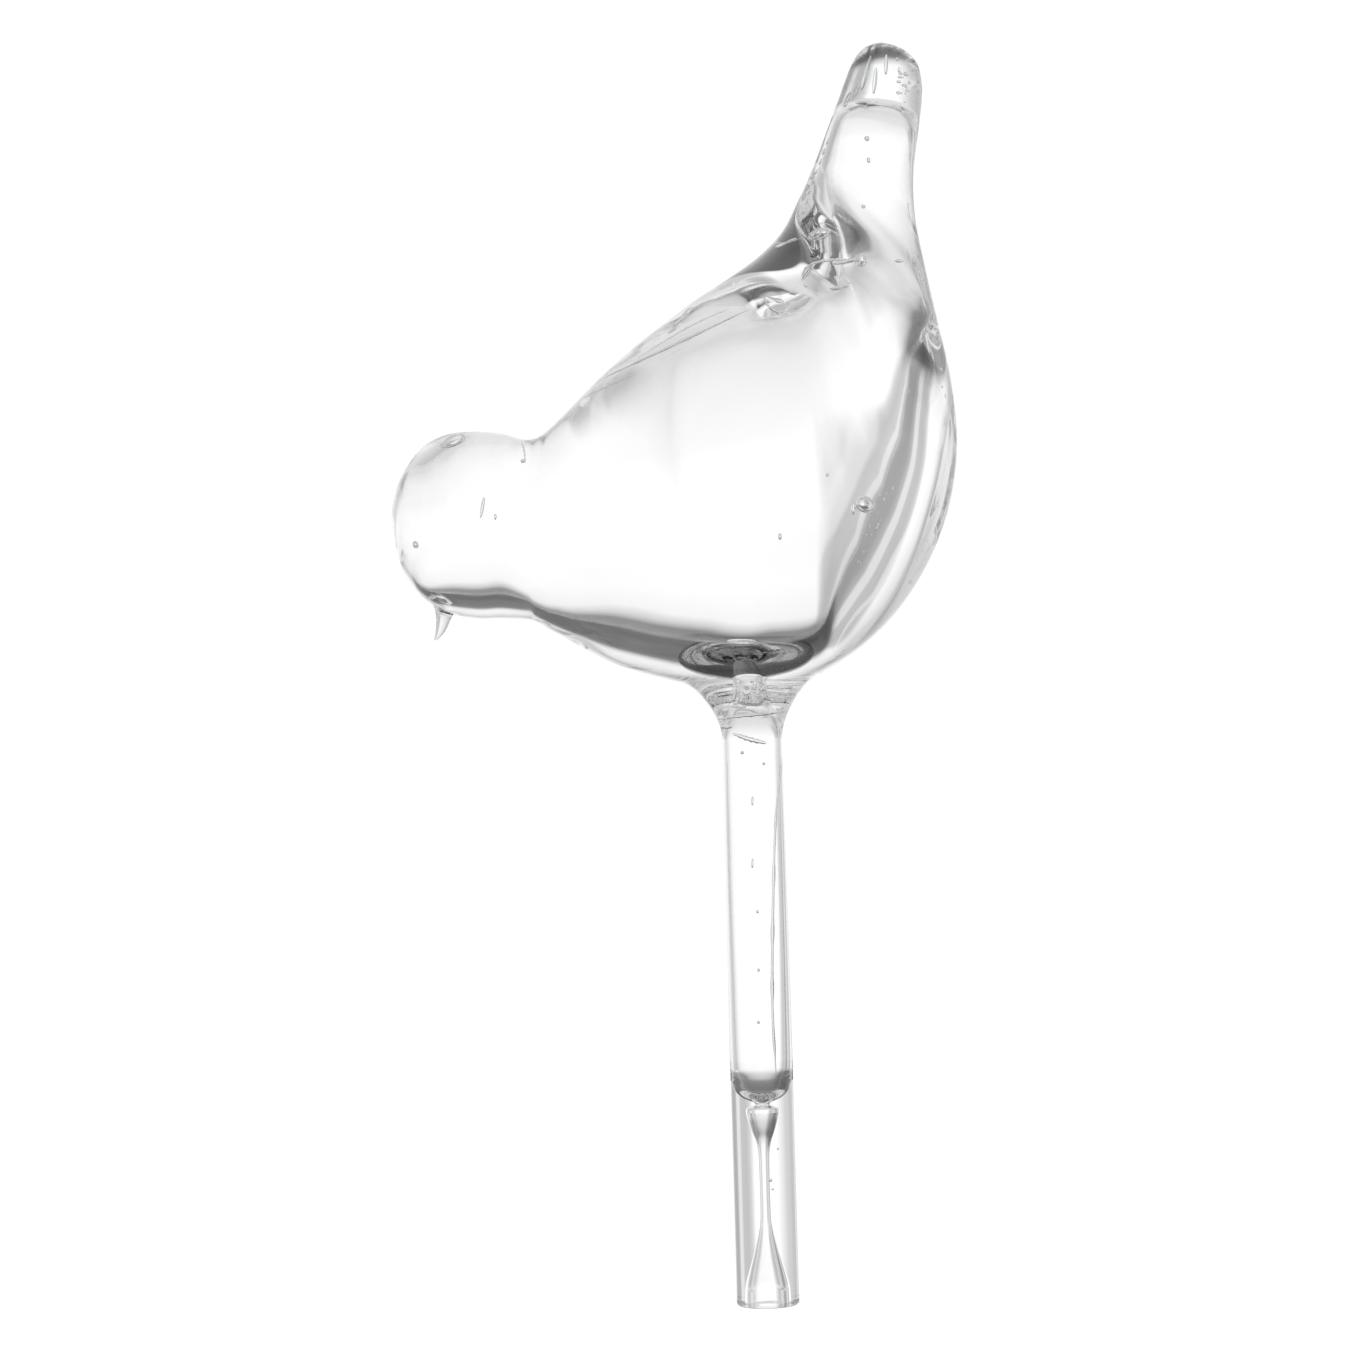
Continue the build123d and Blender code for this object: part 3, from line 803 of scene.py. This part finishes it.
# Stem, as profiles of (radius, height).
stem = {
    "outside": [(5.0, 94.2), (5.08, 76.0), (5.18, 58.0), (5.25, 40.7)],
    "bore": [(4.3, 94.2), (4.3, 70.0), (4.2, 50.0), (4.1, 40.7)],
    "cup": [
        (4.1, 40.7), (3.95, 39.0), (3.5, 37.2), (3.0, 35.7), (2.2, 34.7), (1.4, 34.2), (0.9, 33.9),
        (0.85, 33.6), (1.3, 33.3), (1.85, 32.9), (1.9, 32.2),
    ],
    "drain": [
        (1.9, 32.2), (1.7, 31.0), (1.35, 29.4), (0.95, 27.8), (0.68, 26.0), (0.6, 24.0), (0.6, 15.0),
        (0.75, 13.0), (1.3, 9.5), (2.1, 5.5), (2.5, 3.2), (2.6, 0.35),
    ],
    "lip": [(2.6, 0.35), (2.7, 0.1), (2.95, 0.0), (4.6, 0.0), (5.0, 0.15), (5.2, 0.4), (5.25, 0.8)],
    "foot": [(5.25, 0.8), (5.25, 32.2)],
    "wall": [(5.25, 40.7), (5.25, 32.2)],
}


def ringSeam(outer, inner, out):
    # the flat ring between two profile points of one height
    v = turnsOf(density["stemColumns"])
    return stripBetween(circleAt(v, *outer), circleAt(v, *inner), out)


tubeOut = turnedPatch(stem["outside"], True)
footOut = turnedPatch(stem["foot"], False)
makePiece("feedTube", airIn("tube", tubeOut["points"]) + [
    tubeOut,
    turnedPatch(stem["bore"], False),
    ringSeam(stem["outside"][0], stem["bore"][0], (0, 0, 1)),
    ringSeam(stem["outside"][-1], stem["bore"][-1], (0, 0, -1)),
], "stem_tube", [stemGlass, seamLook])
makePiece("cupFloor", [
    turnedPatch(stem["wall"], True),
    turnedPatch(stem["cup"], False, step=0.2),
    ringSeam(stem["wall"][0], stem["cup"][0], (0, 0, 1)),
    ringSeam(stem["wall"][-1], stem["cup"][-1], (0, 0, -1)),
], "drip_throttle", [stemGlass, seamLook])
makePiece("dripStem", airIn("drip", footOut["points"]) + [
    footOut,
    turnedPatch(stem["drain"], False, step=0.25),
    turnedPatch(stem["lip"], False, step=0.1),
    ringSeam(stem["foot"][-1], stem["drain"][0], (0, 0, 1)),
], "drip_stem", [stemGlass, seamLook])

# tail
tailOut = formPatch(birdSkin, skinRoot, skinSeal, False)
tailIn = formPatch(birdHollow, hollowRoot, birdHollow["marks"][-1], True)
sealMiddle = middleOf(tailOut["points"][-1])
makePiece("tailTube", airIn("tail", tailOut["points"]) + [
    tailOut["patch"],
    tailIn["patch"],
    stripBetween(tailOut["points"][0], tailIn["points"][0], (0, 0, -1)),
    stripBetween(tailOut["points"][-1], sealMiddle, (0, 0, 1), rows=8),
], "tail_tube", [birdGlass, seamLook])
tipOut = formPatch(birdSkin, skinSeal, birdSkin["marks"][-1], False)
makePiece("tailEnd", airIn("tip", tipOut["points"]) + [
    tipOut["patch"],
    stripBetween(tipOut["points"][0], sealMiddle, (0, 0, -1), rows=8),
], "tail_tip", [tipGlass, seamLook])
print("pieces: bird and stem made")

# Studio: the camera's distance in metres, the frame's width and middle and the roll of the photo, the floor,
# the backdrop's brightness to the camera, and how many degrees from level the belt and the slit fade.
studio = {
    "distance": 0.75, "frameWidth": 225.17, "middle": (-12.475, 105.31), "roll": 0.0283, "sensor": 36.0,
    "floorZ": -0.25, "floorHalf": 1.5, "backdrop": 1.05, "beltFade": (14, 26), "slitFade": (1.2, 2.6),
}
lampSettings = {"angle": 2.4, "energy": 3.2, "place": (0.2, -0.4, 0.8), "tilt": (24, 10, 0)}
bounces = {"glass": 40, "clear": 32}
world = bpy.data.worlds.new("studio")
bpy.context.scene.world = world
world.use_nodes = True
nodes, links = world.node_tree.nodes, world.node_tree.links
# A soft wall of light whose brightness goes by direction, brightest straight behind the glass and dimmer
# below it and at the sides of the back. The stops are (degrees, brightness). The first go up from the nadir,
# and the others round from behind the camera, with 0 straight behind the glass. The level ones hold in the
# slit, the round ones in the belt, and the low and high ones below and above it.
upStops = [
    (-90, 0.15), (-62, 0.2), (-50, 0.14), (-30, 0.14), (-24, 0.22), (-19, 0.7), (-14, 1.05), (-4, 1.12),
    (4, 1.05), (12, 0.95), (22, 0.88), (60, 0.85), (90, 0.7),
]
roundStops = [
    (-180, 0.85), (-130, 0.8), (-84, 0.8), (-66, 0.72), (-56, 0.5), (-48, 0.5), (-40, 0.55), (-32, 0.58),
    (-24, 0.75), (-14, 0.97), (12, 1.0), (18, 0.6), (24, 0.48), (34, 0.5), (36.5, 0.72), (44, 0.72),
    (46, 0.45), (54, 0.32), (68, 0.34), (78, 0.75), (180, 0.85),
]
lowStops = [
    (-180, 1.5), (-45, 2.2), (-32, 1.3), (-12, 1.0), (6, 1.0), (18, 0.5), (45, 0.5), (62, 0.8), (180, 1.2),
]
highStops = [
    (-180, 0.85), (-126, 0.75), (-80, 0.7), (-60, 0.55), (-46, 0.6), (-10, 0.9), (14, 0.9), (30, 0.75),
    (42, 0.6), (54, 0.45), (70, 0.45), (84, 0.8), (180, 0.85),
]
levelStops = [
    (-180, 0.9), (-84, 0.8), (-70, 0.5), (-50, 0.6), (-20, 0.85), (-12, 1.0), (12, 1.0), (20, 0.7),
    (50, 0.55), (70, 0.5), (84, 0.8), (180, 0.9),
]


def mathNode(kind, *values):
    # one sum, each value a number or a socket
    made = nodes.new("ShaderNodeMath")
    made.operation = kind
    for k, value in enumerate(values):
        if isinstance(value, (int, float)):
            made.inputs[k].default_value = value
        else:
            links.new(value, made.inputs[k])
    return made.outputs[0]


def stopsNode(stops, low, high, value):
    # brightness between stops in a straight line, at (degrees - low) / (high - low)
    made = nodes.new("ShaderNodeValToRGB")
    ramp = made.color_ramp
    while len(ramp.elements) > 1:
        ramp.elements.remove(ramp.elements[-1])
    for k, (degrees, bright) in enumerate(stops):
        place = (degrees - low) / (high - low)
        stop = ramp.elements[0] if k == 0 else ramp.elements.new(place)
        stop.position = place
        stop.color = (bright, bright, bright, 1)
    links.new(value, made.inputs["Fac"])
    return made.outputs["Color"]


def fadeNode(value, low, high):
    # 0 up to low degrees and 1 from high degrees, smooth between them
    made = nodes.new("ShaderNodeMapRange")
    made.interpolation_type = "SMOOTHSTEP"
    links.new(value, made.inputs["Value"])
    made.inputs["From Min"].default_value = low / 180
    made.inputs["From Max"].default_value = high / 180
    return made.outputs["Result"]


def mixNode(factor, first, second, blend="MIX"):
    # the first colour where the factor is 0 and the second, or their product, where it is 1
    made = nodes.new("ShaderNodeMix")
    made.data_type = "RGBA"
    made.blend_type = blend
    for name, value in (("Factor", factor), ("A", first), ("B", second)):
        if isinstance(value, bpy.types.NodeSocket):
            links.new(value, made.inputs[name])
        else:
            made.inputs[name].default_value = value
    return made.outputs["Result"]


split = nodes.new("ShaderNodeSeparateXYZ")
links.new(nodes.new("ShaderNodeTexCoord").outputs["Generated"], split.inputs[0])
up = mathNode("MULTIPLY_ADD", mathNode("ARCSINE", split.outputs["Z"]), 1 / math.pi, 0.5)
turn = mathNode("ARCTAN2", split.outputs["X"], split.outputs["Y"])
around = mathNode("MULTIPLY_ADD", turn, 1 / fullTurn, 0.5)
steep = mathNode("ABSOLUTE", mathNode("SUBTRACT", up, 0.5))
roundNode = lambda stops: stopsNode(stops, -180, 180, around)
beyond = mixNode(mathNode("GREATER_THAN", up, 0.5), roundNode(lowStops), roundNode(highStops))
belt = mixNode(fadeNode(steep, *studio["beltFade"]), roundNode(roundStops), beyond)
slit = mixNode(fadeNode(steep, *studio["slitFade"]), roundNode(levelStops), belt)
wall = mixNode(1.0, slit, stopsNode(upStops, -90, 90, up), "MULTIPLY")
toCamera = nodes.new("ShaderNodeLightPath").outputs["Is Camera Ray"]
seen = mixNode(toCamera, wall, (studio["backdrop"],) * 3 + (1,))
links.new(seen, nodes["Background"].inputs["Color"])

half, low = studio["floorHalf"], studio["floorZ"]
corners = [(-half, -half, low), (half, -half, low), (half, half, low), (-half, half, low)]
floorMesh = bpy.data.meshes.new("floor")
floorMesh.from_pydata(corners, [], [(0, 1, 2, 3)])
floor = bpy.data.objects.new("floor", floorMesh)
bpy.context.scene.collection.objects.link(floor)
paleFloor = bpy.data.materials.new("paleFloor")
paleFloor.use_nodes = True
floorShader = paleFloor.node_tree.nodes["Principled BSDF"]
floorShader.inputs["Base Color"].default_value = (0.97, 0.97, 0.97, 1)
floorShader.inputs["Roughness"].default_value = 0.9
floorMesh.materials.append(paleFloor)
softLight = bpy.data.lights.new("softLight", "SUN")
softLight.angle = lampSettings["angle"]
softLight.energy = lampSettings["energy"]
lamp = bpy.data.objects.new("softLight", softLight)
bpy.context.scene.collection.objects.link(lamp)
lamp.location = lampSettings["place"]
lamp.rotation_euler = [math.radians(one) for one in lampSettings["tilt"]]
for one in (floor, lamp):  # neither is seen in the glass or through it
    one.visible_transmission = False
    one.visible_glossy = False
print("studio: wall of light, floor and lamp made")

camera = bpy.data.objects.new("camera", bpy.data.cameras.new("camera"))
bpy.context.scene.collection.objects.link(camera)
bpy.context.scene.camera = camera
camera.data.sensor_width = studio["sensor"]
camera.data.lens = studio["sensor"] * studio["distance"] / (studio["frameWidth"] * mm)
camera.data.clip_start = 0.01
camera.data.clip_end = 20.0
c = 1 / math.hypot(1, studio["roll"])
r = studio["roll"] * c
middleX, middleZ = studio["middle"]
camera.matrix_world = Matrix((
    (c, r, 0, middleX * mm),
    (0, 0, -1, -studio["distance"]),
    (-r, c, 0, middleZ * mm),
    (0, 0, 0, 1),
))
scene = bpy.context.scene
scene.view_settings.view_transform = "Standard"
scene.cycles.max_bounces = bounces["glass"]
scene.cycles.glossy_bounces = bounces["glass"]
scene.cycles.transmission_bounces = bounces["glass"]
scene.cycles.transparent_max_bounces = bounces["clear"]
scene.cycles.caustics_reflective = False
scene.cycles.caustics_refractive = False

print("camera and sizes done")
